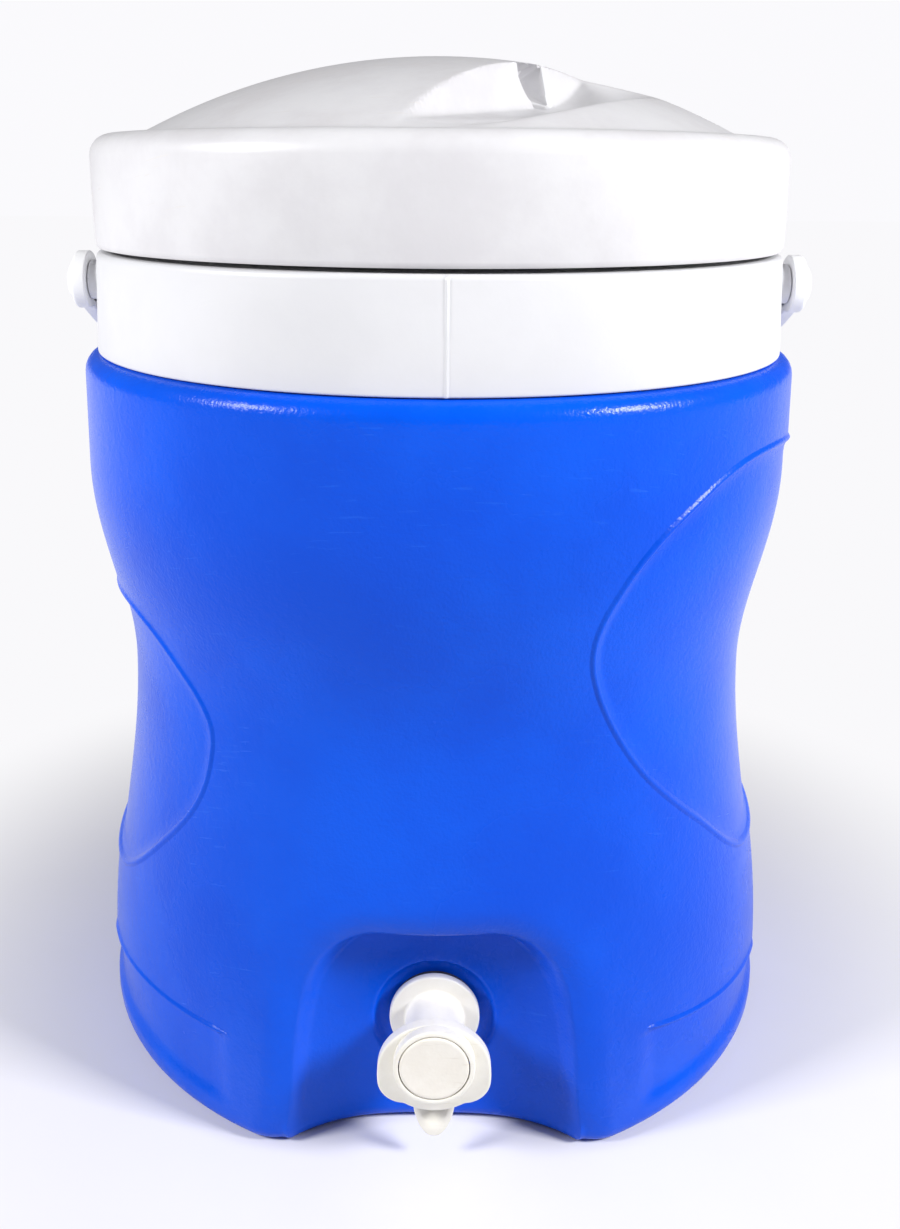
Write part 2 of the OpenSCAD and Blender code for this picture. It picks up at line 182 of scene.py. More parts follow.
def wall_radius(turn, z):
    """Radius of the shell's outside. The body's profile is lowered inside each oval and foot panel. Round
    the bay its edge is rolled in over 9 mm, and within the bay's outline it passes smoothly to the rear
    wall, whose depth falls from the middle as the cube of the distance to the side."""
    turn = (turn + np.pi) % (2 * np.pi) - np.pi
    turn, z = np.broadcast_arrays(turn, z)
    s = turn * UNROLL_R
    radius = profile_radius(z)
    radius = radius - OVAL_DEPTH * ease((inside_oval(RIGHT_OVAL, s, z) + 0.5) / 5)
    radius = radius - OVAL_DEPTH * ease((inside_oval(LEFT_OVAL, s, z) + 0.5) / 5)
    for side in (1, -1):
        degrees = side * np.degrees(turn)
        ends = ease((degrees - 32) / 4) * ease((88 - degrees) / 12)
        below = ease((panel_line(side, turn) - z) / 2.2) * ease((z - 9) / 5)
        radius = radius - PANEL_DEPTH * ends * below
    half_width = 54.6 - 3.8 * z / 62 + 4.5 * np.clip(1 - z / 22, 0, 1) ** 2
    corner = 30
    across = np.abs(s) - (half_width - corner)
    above = z - (BAY_TOP - corner)
    gap = np.minimum(np.maximum(across, above), 0)
    gap = gap + np.hypot(np.maximum(across, 0), np.maximum(above, 0)) - corner
    radius = radius - BAY_LIP * np.clip(1 - gap / BAY_ROLL, 0, 1) ** 2
    near = np.clip(turn, -0.6, 0.6)
    rear = BAY_REAR / np.cos(near)
    for _ in range(8):
        rear = (BAY_REAR + BAY_SWEEP * np.abs(rear * np.sin(near) / BAY_HALF) ** 3) / np.cos(near)
    from_seat = np.hypot(rear * np.sin(near), z - SEAT_Z)
    rear = rear - SEAT_DEPTH * ease((SEAT_RING - from_seat) / 2.2)
    inward = ease(-gap / (3.4 + 4.6 * ease((z - 40) / 36)))
    return radius + (np.minimum(rear, radius) - radius) * inward


def bump_strip(path, width, height, closed):
    """A low rounded rib that follows a path on the wall laid out flat. Its section is a squared cosine
    over the wall, closed below the surface, and it tapers to a point at open ends."""
    step = np.gradient(path, axis=0)
    if closed:
        step = (np.roll(path, -1, 0) - np.roll(path, 1, 0)) / 2
    across = np.stack([-step[:, 1], step[:, 0]], -1) / np.hypot(*step.T)[:, None]
    lane = np.concatenate([np.linspace(-1, 1, 11), [0.5, -0.5]])
    lift = np.concatenate([height * np.cos(lane[:11] * np.pi / 2) ** 2 - 0.12, [-1.4, -1.4]])
    taper = np.ones(len(path))
    if not closed:
        t = np.linspace(0, 1, len(path))
        taper = np.sqrt(ease(t / 0.08) * ease((1 - t) / 0.08))
    spot = path[:, None] + across[:, None] * (lane * width / 2)[None, :, None] * taper[:, None, None]
    turn = spot[..., 0] / UNROLL_R
    radius = wall_radius(turn, spot[..., 1]) + lift[None] * taper[:, None]
    return round_the_jug(radius, turn, spot[..., 1]), closed


fine = np.radians(np.linspace(-29, 29, 160, endpoint=False))
coarse = np.radians(np.linspace(29, 331, 242, endpoint=False))
shell_turns = np.concatenate([fine, coarse])
wall_z = np.concatenate([np.linspace(FOOT_FILLET, 96, 84), np.linspace(96, 267, 70)[1:]])
sweep_in = np.radians(np.linspace(0, 90, 7))
outer_wall = wall_radius(shell_turns[None], wall_z[:, None])
foot_edge = outer_wall[:1]
rows = []
hole = np.stack([PLUG_HOLE_R * np.sin(shell_turns), PLUG_AT - PLUG_HOLE_R * np.cos(shell_turns)], -1)
rim = round_the_jug(foot_edge[0] - FOOT_FILLET, shell_turns, 0.0)[:, :2]
for t in np.linspace(0, 1, 9)[:-1]:
    rows.append(np.concatenate([hole + (rim - hole) * t, np.zeros((len(hole), 1))], 1))
rows = [np.array(rows)]
rows.append(round_the_jug(
    foot_edge - FOOT_FILLET * (1 - np.sin(sweep_in[:-1, None])), shell_turns[None],
    FOOT_FILLET * (1 - np.cos(sweep_in[:-1, None]))))
rows.append(round_the_jug(outer_wall, shell_turns[None], wall_z[:, None]))
shoulder = outer_wall[-1:] - SHOULDER_FILLET * (1 - np.cos(sweep_in[1:, None]))
rows.append(round_the_jug(
    shoulder, shell_turns[None], BODY_TOP - SHOULDER_FILLET * (1 - np.sin(sweep_in[1:, None]))))
neck = np.array([
    (NECK_R + 0.6, BODY_TOP), (NECK_R, BODY_TOP + 0.6), (NECK_R, 290), (NECK_R, NECK_TOP),
    (NECK_R - SHELL_WALL, NECK_TOP), (NECK_R - SHELL_WALL, 290), (NECK_R - SHELL_WALL, 271)])
rows.append(round_the_jug(neck[:, :1], shell_turns[None], neck[:, 1:]))
inner_z = np.linspace(266, 8, 24)
inner_wall = wall_radius(shell_turns[None], inner_z[:, None]) - SHELL_WALL
rows.append(round_the_jug(inner_wall, shell_turns[None], inner_z[:, None]))
rim = round_the_jug(inner_wall[-1] - 5, shell_turns, 0.0)[:, :2]
inner_floor = [
    np.concatenate([rim + (hole - rim) * t, np.full((len(hole), 1), SHELL_WALL)], 1)
    for t in np.linspace(0, 1, 5)]
rows.append(np.array(inner_floor))
patches = [(np.concatenate(rows), True)]
patches.append(bump_strip(RIGHT_OVAL, 4.6, 0.95, True))
patches.append(bump_strip(LEFT_OVAL, 4.6, 0.95, True))
for side in (1, -1):
    far, _, near, _ = PANEL_LINES[side]
    turns = side * np.radians(np.linspace(far + 9, near - 2, 90))
    line = np.stack([turns * UNROLL_R, panel_line(side, turns) + 0.6], -1)
    patches.append(bump_strip(line, 3.4, 0.9, False))
body_shell = skin("body_shell", *patches)
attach(body_shell, "jug")
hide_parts("outer_shell")


def node_group(name, inputs, outputs):
    """An empty shader group with named value, vector and colour sockets."""
    kinds = {"value": "NodeSocketFloat", "vector": "NodeSocketVector", "colour": "NodeSocketColor"}
    tree = bpy.data.node_groups.new(name, "ShaderNodeTree")
    for label, (kind, default) in inputs.items():
        socket = tree.interface.new_socket(name=label, in_out="INPUT", socket_type=kinds[kind])
        if default is not None:
            socket.default_value = default
    for label, kind in outputs.items():
        tree.interface.new_socket(name=label, in_out="OUTPUT", socket_type=kinds[kind])
    return tree, tree.nodes.new("NodeGroupInput"), tree.nodes.new("NodeGroupOutput")


def add(tree, kind, links=None, **settings):
    """A shader node with its settings, and its inputs set or linked by name or number."""
    node = tree.nodes.new("ShaderNode" + kind)
    for key, value in settings.items():
        setattr(node, key, value)
    for key, value in (links or {}).items():
        if isinstance(value, bpy.types.NodeSocket):
            tree.links.new(value, node.inputs[key])
        else:
            node.inputs[key].default_value = value
    return node


def remap(tree, value, low, high, to_low=0.0, to_high=1.0):
    """Maps a value from one range to another with smooth ends."""
    ends = {0: value, 1: low, 2: high, 3: to_low, 4: to_high}
    return add(tree, "MapRange", ends, interpolation_type="SMOOTHSTEP").outputs[0]


def pebble_group():
    """Height of a spark-eroded mould skin: fine noise with a little coarser noise under it."""
    tree, start, end = node_group(
        "mould_pebble", {"Vector": ("vector", None), "Grains per metre": ("value", 800.0)},
        {"Height": "value"})
    grain = add(tree, "TexNoise", {
        "Vector": start.outputs[0], "Scale": start.outputs[1], "Detail": 1.5, "Roughness": 0.5})
    third = add(tree, "Math", {0: start.outputs[1], 1: 0.37}, operation="MULTIPLY")
    swell_noise = add(tree, "TexNoise", {
        "Vector": start.outputs[0], "Scale": third.outputs[0], "Detail": 1.0})
    both = add(tree, "Math", {0: grain.outputs[0], 1: swell_noise.outputs[0]}, operation="ADD")
    tree.links.new(both.outputs[0], end.inputs[0])
    return tree


def rub_group():
    """Mask of rub marks and hairline scratches: thin bands of stretched noise, in scattered patches."""
    tree, start, end = node_group(
        "rub_marks", {"Vector": ("vector", None), "Amount": ("value", 0.5), "Bearing": ("value", 0.4)},
        {"Mask": "value"})
    turned = add(
        tree, "VectorRotate", {"Vector": start.outputs[0], "Angle": start.outputs[2]}, rotation_type="X_AXIS")
    long = add(tree, "VectorMath", {0: turned.outputs[0], 1: (70, 70, 900)}, operation="MULTIPLY")
    streak = add(tree, "TexNoise", {
        "Vector": long.outputs[0], "Scale": 1.0, "Detail": 2.0, "Roughness": 0.6})
    hair = remap(tree, streak.outputs[0], 0.64, 0.72)
    where = add(tree, "TexNoise", {"Vector": start.outputs[0], "Scale": 17.0, "Detail": 2.0})
    patch = remap(tree, where.outputs[0], 0.5, 0.62)
    marks = add(tree, "Math", {0: hair, 1: patch}, operation="MULTIPLY")
    out = add(tree, "Math", {0: marks.outputs[0], 1: start.outputs[1]}, operation="MULTIPLY")
    tree.links.new(out.outputs[0], end.inputs[0])
    return tree


def dust_group():
    """Mask of dust and grime that settles on upward faces and gathers in clouds."""
    tree, start, end = node_group(
        "settled_dust",
        {"Vector": ("vector", None), "Amount": ("value", 0.3), "Everywhere": ("value", 0.15)},
        {"Mask": "value"})
    place = add(tree, "TexCoord")
    facing = add(tree, "SeparateXYZ", {0: place.outputs["Normal"]})
    up = remap(tree, facing.outputs[2], 0.2, 1.0)
    up = add(tree, "Math", {0: up, 1: start.outputs[2]}, operation="MAXIMUM")
    cloud = add(tree, "TexNoise", {
        "Vector": start.outputs[0], "Scale": 26.0, "Detail": 6.0, "Roughness": 0.62})
    cloud = remap(tree, cloud.outputs[0], 0.42, 0.7)
    speck = add(tree, "TexNoise", {"Vector": start.outputs[0], "Scale": 420.0, "Detail": 2.0})
    speck = remap(tree, speck.outputs[0], 0.45, 0.7, 0.5, 1.0)
    mask = add(tree, "Math", {0: up.outputs[0], 1: cloud}, operation="MULTIPLY")
    mask = add(tree, "Math", {0: mask.outputs[0], 1: speck}, operation="MULTIPLY")
    mask = add(tree, "Math", {0: mask.outputs[0], 1: start.outputs[1]}, operation="MULTIPLY")
    tree.links.new(mask.outputs[0], end.inputs[0])
    return tree


PEBBLE, RUBS, DUST = pebble_group(), rub_group(), dust_group()


def use(tree, group, values):
    """Places a shared group in a material with its own values."""
    node = tree.nodes.new("ShaderNodeGroup")
    node.node_tree = group
    for key, value in values.items():
        if isinstance(value, bpy.types.NodeSocket):
            tree.links.new(value, node.inputs[key])
        else:
            node.inputs[key].default_value = value
    return node.outputs[0]


def tint(tree, factor, first, second):
    """Mixes two colours, each a value or a link."""
    node = add(tree, "Mix", {0: factor}, data_type="RGBA")
    for key, value in ((6, first), (7, second)):
        if isinstance(value, bpy.types.NodeSocket):
            tree.links.new(value, node.inputs[key])
        else:
            node.inputs[key].default_value = (*value, 1)
    return node.outputs[2]


def moulded(name, colour, shade, rub_colour, dust_colour, rough=0.4, grains=800.0, grain_depth=0.3,
            mottle=0.5, mottle_scale=16.0, rubs=0.5, dust=0.3, everywhere=0.15, bearing=0.4, specular=0.5,
            subsurface=0.0):
    """A moulded finish: two tones in soft clouds, a pebbled skin, rub marks and dust."""
    material = bpy.data.materials.new(name)
    material.use_nodes = True
    tree = material.node_tree
    shader = tree.nodes["Principled BSDF"]
    place = add(tree, "TexCoord").outputs["Object"]
    cloud = add(tree, "TexNoise", {"Vector": place, "Scale": mottle_scale, "Detail": 5.0, "Roughness": 0.6})
    tone = remap(tree, cloud.outputs[0], 0.35, 0.68, 0.0, mottle)
    worn = use(tree, RUBS, {"Vector": place, "Amount": rubs, "Bearing": bearing})
    grime = use(tree, DUST, {"Vector": place, "Amount": dust, "Everywhere": everywhere})
    base = tint(tree, tone, colour, shade)
    base = tint(tree, worn, base, rub_colour)
    base = tint(tree, grime, base, dust_colour)
    tree.links.new(base, shader.inputs["Base Color"])
    rougher = add(tree, "Math", {0: worn, 1: grime}, operation="ADD")
    rougher = remap(tree, rougher.outputs[0], 0.0, 1.0, rough, min(rough + 0.35, 1.0))
    wave = remap(tree, cloud.outputs[0], 0.3, 0.7, -0.04, 0.04)
    total = add(tree, "Math", {0: rougher, 1: wave}, operation="ADD")
    tree.links.new(total.outputs[0], shader.inputs["Roughness"])
    height = use(tree, PEBBLE, {"Vector": place, "Grains per metre": grains})
    scratched = add(tree, "Math", {0: worn, 1: -0.5, 2: height}, operation="MULTIPLY_ADD")
    bump = add(tree, "Bump", {"Height": scratched.outputs[0], "Strength": grain_depth, "Distance": 0.0002})
    tree.links.new(bump.outputs[0], shader.inputs["Normal"])
    shader.inputs["Specular IOR Level"].default_value = specular
    shader.inputs["Subsurface Weight"].default_value = subsurface
    shader.inputs["Subsurface Radius"].default_value = (0.004, 0.004, 0.005)
    return material


def dress(piece, material):
    """Gives a piece one material, in place of what it carries."""
    piece.data.materials.clear()
    piece.data.materials.append(material)


blue = moulded(
    "blue_polyethylene", (0.0, 0.085, 0.7), (0.0, 0.06, 0.58), (0.05, 0.24, 0.85), (0.05, 0.2, 0.7),
    rough=0.26, grains=900.0, grain_depth=0.7, mottle=0.8, mottle_scale=9.0, rubs=0.1, dust=0.12,
    specular=0.17)
dress(body_shell, blue)
dress(nodes["foam_plug"], blue)

# ---------------------------------------------------------------------------------------------------
# The inner vessel, the foam round it, and the sleeve that holds the two walls apart at the spigot. The
# vessel is food-grade polyethylene with thread lugs on its neck, and the foam is cast in place.

vessel_white = moulded(
    "vessel_white", (0.83, 0.83, 0.82), (0.76, 0.76, 0.74), (0.7, 0.7, 0.68), (0.62, 0.6, 0.55),
    rough=0.42, grains=600.0, grain_depth=0.15, rubs=0.3, dust=0.12, subsurface=0.1)
foam_cream = moulded(
    "foam_cream", (0.82, 0.74, 0.5), (0.74, 0.63, 0.38), (0.86, 0.8, 0.6), (0.6, 0.5, 0.33),
    rough=0.9, grains=1500.0, grain_depth=0.8, mottle=0.9, mottle_scale=40.0, rubs=0.1, specular=0.2)
for name in ("inner_liner", "wall_sleeve"):
    dress(nodes[name], vessel_white)
for name in ("shell_foam", "lid_foam"):
    dress(nodes[name], foam_cream)

# ---------------------------------------------------------------------------------------------------
# The collar: a white polypropylene band, pressed over the shell's neck, that holds down the vessel's
# flange. Its mould parting line stands at the front, and a round boss on each side carries the handle.

COLLAR_R = 135.3
COLLAR_BORE = 132.3
COLLAR_LOW = 274.3
COLLAR_TOP = 312
PIVOT_Z = 298.5
PIN_R = 4


def turned(profile, centre=(0, 0, 0), axis="Z", columns=96, ring=True):
    """A profile of radius and travel carried round an axis. Ring says that the profile closes on itself."""
    profile = np.asarray(profile, float)
    a = np.arange(columns) * 2 * np.pi / columns
    radius, travel = profile[:, :1], profile[:, 1:]
    across, up = radius * np.cos(a), radius * np.sin(a)
    travel = np.broadcast_to(travel, across.shape)
    order = {"X": (travel, across, up), "Y": (across, travel, up), "Z": (across, up, travel)}[axis]
    return np.stack(order, -1) + np.array(centre, float), ring


def softened(corners, radius, steps=4):
    """Rounds the corners of a closed profile: each becomes steps + 1 points of a parabola that meets both
    sides. The radius is one number, or one for each corner."""
    corners = np.asarray(corners, float)
    before = np.roll(corners, 1, 0) - corners
    after = np.roll(corners, -1, 0) - corners
    long_before, long_after = np.hypot(*before.T)[:, None], np.hypot(*after.T)[:, None]
    reach = np.minimum(np.broadcast_to(np.reshape(radius, (-1, 1)), long_before.shape),
                       np.minimum(long_before, long_after) * 0.49)
    a = corners + before / long_before * reach
    b = corners + after / long_after * reach
    t = np.linspace(0, 1, steps + 1)[None, :, None]
    out = (1 - t) ** 2 * a[:, None] + 2 * t * (1 - t) * corners[:, None] + t**2 * b[:, None]
    return out.reshape(-1, 2)


collar_section = softened(
    [(COLLAR_BORE, COLLAR_LOW), (COLLAR_R, COLLAR_LOW), (COLLAR_R - 0.5, 293), (COLLAR_R - 1.1, COLLAR_TOP),
     (115.2, COLLAR_TOP), (115.2, COLLAR_TOP - 3), (COLLAR_BORE, COLLAR_TOP - 3)],
    [0.3, 0.9, 3, 2.2, 0.8, 0.3, 0.3], 5)
PARTING_X = 2.4
seam = PARTING_X / COLLAR_R
SEAM_HALF = 0.016
SEAM_REST = 0.03
seam_turns = seam + np.concatenate([
    np.linspace(-SEAM_HALF, SEAM_HALF, 17), np.linspace(SEAM_REST, 2 * np.pi - SEAM_REST, 260)])
section_r, section_z = collar_section[:, :1], collar_section[:, 1:]
line_height = 0.42 * np.exp(-(((seam_turns - seam) * COLLAR_R / 0.55) ** 2))
line_height = line_height * ease((section_r - 133) / 1)
wander = 1 + 0.25 * np.sin(section_z * 0.9) + 0.8 * ease((section_z - 309.5) / 2)
collar_grid = round_the_jug(section_r + line_height * wander, seam_turns[None], section_z)
boss_section = softened([(PIN_R, 131), (8, 131), (8, 141.2), (PIN_R, 141.2)], [0.2, 0.2, 0.7, 0.3])
patches = [(collar_grid, True)]
for side in (-1, 1):
    patches.append(turned(boss_section * (1, side), (0, 0, PIVOT_Z), "X", 64))
collar_band = skin("collar_band", *patches)
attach(collar_band, "jug")
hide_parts("collar")
collar_white = moulded(
    "collar_white", (0.66, 0.66, 0.685), (0.61, 0.61, 0.635), (0.72, 0.71, 0.72), (0.6, 0.58, 0.57),
    rough=0.38, grains=520.0, grain_depth=0.16, mottle=0.6, mottle_scale=22.0, rubs=0.4, dust=0.22,
    subsurface=0.06)
dress(collar_band, collar_white)

# ---------------------------------------------------------------------------------------------------
# The handle's pins: white acetal, each with a low domed head outside the handle's eye and a plain shank
# that snaps into the collar's boss.

PIN_HEAD_X = 147.3
PIN_HEAD_R = 8
PIN_CROWN = 3.2
PIN_EDGE = 0.5

pin_white = moulded(
    "pin_white", (0.84, 0.84, 0.86), (0.79, 0.79, 0.82), (0.7, 0.7, 0.71), (0.6, 0.58, 0.56),
    rough=0.33, grains=900.0, grain_depth=0.08, rubs=0.5, dust=0.2)
crown = np.linspace(0, 1, 12)
head = np.stack([
    PIN_HEAD_R * np.sin(crown * np.pi / 2),
    PIN_HEAD_X + PIN_EDGE + (PIN_CROWN - PIN_EDGE) * np.cos(crown * np.pi / 2)], -1)
shank = np.array([(PIN_HEAD_R, PIN_HEAD_X + 0.2), (PIN_HEAD_R - 0.3, PIN_HEAD_X), (PIN_R, PIN_HEAD_X),
                  (PIN_R, 133.4), (PIN_R - 0.8, 132.6), (0, 132.6)])
for side, label in ((-1, "left"), (1, "right")):
    pin = skin("handle_pin_" + label, turned(
        np.concatenate([head, shank]) * (1, side), (0, 0, PIVOT_Z), "X", 64, ring=False))
    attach(pin, "jug")
    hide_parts("pivot_pin_" + label)
    dress(pin, pin_white)

# ---------------------------------------------------------------------------------------------------
# The handle: a white moulded bail. A strap runs from a round eye on each side along a straight leg and
# round a half circle, and thickens to a ribbed grip in the middle. It hangs behind the jug.

BAIL_R = 141.5
BAIL_T = 5.5
BAIL_W = 18
BAIL_LEG = 20
BAIL_DROOP = math.radians(25)
EYE_R = 11.6
GRIP_T = 3
GRIP_W = 24

bend = np.radians(np.linspace(0, 180, 321))
leg = np.linspace(0, BAIL_LEG, 8)[:-1]
path = np.concatenate([
    np.stack([np.full_like(leg, BAIL_R), leg], -1),
    np.stack([BAIL_R * np.cos(bend), BAIL_LEG + BAIL_R * np.sin(bend)], -1),
    np.stack([np.full_like(leg, -BAIL_R), leg[::-1]], -1)])
outward = np.concatenate([
    np.tile([1.0, 0.0], (len(leg), 1)), np.stack([np.cos(bend), np.sin(bend)], -1),
    np.tile([-1.0, 0.0], (len(leg), 1))])
span = np.degrees(np.concatenate([np.zeros(len(leg)), bend, np.full(len(leg), np.pi)]))
grip = ease((span - 60) / 5) * ease((120 - span) / 5)
ribs = 0.35 * grip * np.cos(np.radians(span * 90)) ** 2
thick = BAIL_T + (GRIP_T - 0.4) * grip + ribs
wide = BAIL_W + (GRIP_W - BAIL_W) * grip
unit = softened([(0, -0.5), (1, -0.5), (1, 0.5), (0, 0.5)], [0.13, 0.13, 0.13, 0.13], 5)
lift = unit[None, :, 0] * thick[:, None]
aside = unit[None, :, 1] * wide[:, None]
in_plane = path[:, None] + outward[:, None] * lift[..., None]
ends = np.stack([in_plane[..., 0], in_plane[..., 1], aside], -1)
cap_a, cap_b = ends[:1].mean(1, keepdims=True), ends[-1:].mean(1, keepdims=True)
ends = np.concatenate([
    np.broadcast_to(cap_a, ends[:1].shape), ends, np.broadcast_to(cap_b, ends[-1:].shape)])
eye_bore = PIN_R + 0.08
eye_section = softened(
    [(eye_bore, BAIL_R), (EYE_R, BAIL_R), (EYE_R, BAIL_R + BAIL_T), (eye_bore, BAIL_R + BAIL_T)],
    [0.3, 0.6, 1.4, 0.4])


def hang(grid):
    """Turns a grid about the pivots by the angle that the handle hangs at."""
    x, y, z = grid[..., 0], grid[..., 1], grid[..., 2]
    c, s = math.cos(BAIL_DROOP), math.sin(BAIL_DROOP)
    return np.stack([x, y * c + z * s, PIVOT_Z - y * s + z * c], -1)


patches = [(hang(ends), False)]
for side in (-1, 1):
    grid, ring = turned(eye_section * (1, side), (0, 0, 0), "X", 72)
    patches.append((hang(grid), ring))
handle = skin("handle_strap", *patches)
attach(handle, "bail")
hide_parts("bail_handle")
handle_white = moulded(
    "handle_white", (0.84, 0.84, 0.85), (0.79, 0.79, 0.81), (0.7, 0.7, 0.7), (0.58, 0.56, 0.53),
    rough=0.4, grains=700.0, grain_depth=0.2, mottle_scale=30.0, rubs=0.6, dust=0.25, bearing=1.2)
dress(handle, handle_white)

# ---------------------------------------------------------------------------------------------------
# The lid's outer moulding: white polyethylene with a plain skirt, a rolled edge, a flat rim, and a low
# dome. Two wells leave a thick bar across the dome to twist the lid by, and a finger pocket runs under
# the bar from each well.

LID_R = 135
LID_LOW = 313.6
LID_RIM_Z = 355.2
LID_EDGE = 8
LID_WALL = 2.5
DOME_R = 238
DOME_TOP = 385.6
DOME_FOOT = 118
BAR_TURN = math.radians(30)
BAR_HALF = 40
WELL_R = 60
WELL_ACROSS = 62
WELL_UP = 423.4
WELL_FALL = 0.0734
POCKET_ALONG = -4.3
POCKET_LOW = 365
POCKET_HIGH = 381.2
POCKET_DEPTH = 13


def lid_top(across, along, drop):
    """Points of the lid's top over places measured across and along the grip's bar. A sphere rises from a
    flat rim. On each side of the bar a round-bottomed well falls to the rim, with a steep flank at the
    bar and a spherical far end. All are joined with small soft edges. Drop lowers it all for the inner
    wall. On each flank the places within the pocket's mouth are pushed back under the bar. The mouth has
    a flat top and narrows to a round bottom."""
    dome = DOME_TOP - DOME_R + np.sqrt((DOME_R - drop) ** 2 - across**2 - along**2)
    lift = dome - LID_RIM_Z + drop
    z = LID_RIM_Z - drop + (lift + np.sqrt(lift * lift + 0.8)) / 2
    for side in (1, -1):
        u, v = side * across, side * along
        beside = np.maximum(u, BAR_HALF + 2) - WELL_ACROSS
        reach = (WELL_R + drop) ** 2 - beside**2 - np.maximum(v, 0) ** 2
        well = WELL_UP + WELL_FALL * np.minimum(v, 0) - np.sqrt(np.maximum(reach, 0))
        well = np.where(reach > 0, well, 1e3) + 42 * ease((BAR_HALF + 5 - drop - u) / 10)
        ditch = np.minimum(well - z, 60)
        z = z + (ditch - np.sqrt(ditch * ditch + 1.0)) / 2
    for side in (1, -1):
        u, v, level = side * across, side * along - POCKET_ALONG, z + drop
        rise = np.clip((level - POCKET_LOW) / (POCKET_HIGH - POCKET_LOW), 0, 1)
        left, right = 13.5 * rise**0.75, 9.6 * np.sqrt(1 - (1 - np.minimum(rise / 0.5, 1)) ** 2)
        inside = np.minimum(np.minimum(v + left, right - v), POCKET_HIGH - level)
        under = ease(inside / 1.6) * (u > BAR_HALF - 4) * (u < BAR_HALF + 14)
        across = across - side * POCKET_DEPTH * under
    c, s = math.cos(BAR_TURN), math.sin(BAR_TURN)
    return np.stack([c * across + s * along, c * along - s * across, z], -1)


def over_the_bar(turns, radii, drop):
    """The lid's top over rings of the given radii."""
    plan = round_the_jug(radii[:, None], turns[None], 0.0)
    c, s = math.cos(BAR_TURN), math.sin(BAR_TURN)
    return lid_top(c * plan[..., 0] - s * plan[..., 1], s * plan[..., 0] + c * plan[..., 1], drop)


lid_turns = np.radians(np.linspace(0, 360, 540, endpoint=False))
rows = [over_the_bar(lid_turns, DOME_FOOT * np.linspace(0, 1, 118) ** 0.85, 0.0)]
rows.append(over_the_bar(lid_turns, np.linspace(DOME_FOOT, LID_R - LID_EDGE, 6)[1:], 0.0))
edge = np.radians(np.linspace(90, 0, 10))[1:]
edge_inside = LID_EDGE - LID_WALL
skirt = np.concatenate([
    np.stack([LID_R - LID_EDGE + LID_EDGE * np.cos(edge), LID_RIM_Z - LID_EDGE + LID_EDGE * np.sin(edge)],
             -1),
    [(LID_R - 0.1, 338), (LID_R - 0.35, 326), (LID_R - 0.75, 315.6), (LID_R - 1.0, 314.4),
     (LID_R - 1.7, LID_LOW),
     (LID_R - 3.0, LID_LOW), (LID_R - 3.3, 314.2), (LID_R - 3.3, 330)],
    np.stack([LID_R - LID_EDGE + edge_inside * np.cos(edge[::-1]),
              LID_RIM_Z - LID_EDGE + edge_inside * np.sin(edge[::-1])], -1)])
rows.append(round_the_jug(skirt[:, :1], lid_turns[None], skirt[:, 1:]))
inner_radii = np.concatenate([np.linspace(LID_R - LID_EDGE, 90, 6), np.linspace(86, 0, 16)])
rows.append(over_the_bar(lid_turns, inner_radii, LID_WALL))
lid_cover = skin("lid_cover", (np.concatenate(rows), False))
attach(lid_cover, "lid")
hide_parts("lid_shell")
lid_white = moulded(
    "lid_white", (0.64, 0.635, 0.655), (0.57, 0.56, 0.585), (0.62, 0.6, 0.6), (0.52, 0.49, 0.48),
    rough=0.4, grains=460.0, grain_depth=0.2, mottle=0.8, mottle_scale=26.0, rubs=0.7, dust=0.3,
    everywhere=0.2, bearing=0.2, subsurface=0.06)
dress(lid_cover, lid_white)
dress(nodes["lid_pan"], vessel_white)

# ---------------------------------------------------------------------------------------------------
# The rubber pieces: the ring seal on the vessel's mouth, the two washers that seal the spigot's hole, and
# the disc that closes the valve.

rubber = moulded(
    "grey_rubber", (0.06, 0.06, 0.065), (0.045, 0.045, 0.05), (0.12, 0.12, 0.12), (0.2, 0.19, 0.18),
    rough=0.62, grains=1400.0, grain_depth=0.25, rubs=0.2, dust=0.3, specular=0.35)
for name in ("lid_gasket", "outer_washer", "inner_washer", "valve_seal"):
    dress(nodes[name], rubber)

# ---------------------------------------------------------------------------------------------------
# The spigot's body: one ivory polypropylene moulding. A threaded tail passes through both walls, a round
# flange seats in the sunken ring, a barrel carries the finger plate, and a slanted spout hangs under it.

FLANGE_Y = 111.5
FLANGE_T = 3
FLANGE_R = 16.2
BARREL_R = 10.3
TAIL_Y = 80
TAIL_R = 10
PLATE_Y = 133
PLATE_T = 4
SEAT_R = 12.9

spigot_section = softened(
    [(7, -TAIL_Y), (TAIL_R, -TAIL_Y), (TAIL_R, -FLANGE_Y), (FLANGE_R, -FLANGE_Y),
     (FLANGE_R, -FLANGE_Y - FLANGE_T),
     (BARREL_R, -FLANGE_Y - FLANGE_T), (BARREL_R, -129.5), (12.4, -PLATE_Y - 0.3), (12.2, -PLATE_Y - 1),
     (9, -PLATE_Y - 1), (9, -125.8), (2.58, -125.8), (2.58, -123), (7, -123)],
    [0.3, 0.7, 0.2, 0.5, 0.8, 1.2, 1.6, 0.1, 0.1, 0.2, 0.3, 0.1, 0.1, 0.3])
patches = [turned(spigot_section, (0, 0, SPIGOT_Z), "Y", 96)]

thread_turns = 9
around = np.linspace(0, 2 * np.pi * thread_turns, 60 * thread_turns)
crest = np.array([(9.6, -0.75), (10.0, -0.22), (10.0, 0.22), (9.6, 0.75)])
fade = np.minimum(1, np.minimum(around, around[-1] - around) / 1.2)[:, None]
tooth = (crest[None, :, 0] - 9.6) * fade + 9.6
shift = crest[None, :, 1] * np.maximum(fade, 0.02)
travel = -(TAIL_Y + 2 + 24 * around / around[-1])[:, None] + shift
thread = np.stack([
    tooth * np.cos(around)[:, None], travel, SPIGOT_Z + tooth * np.sin(around)[:, None]], -1)
patches.append((thread, False))

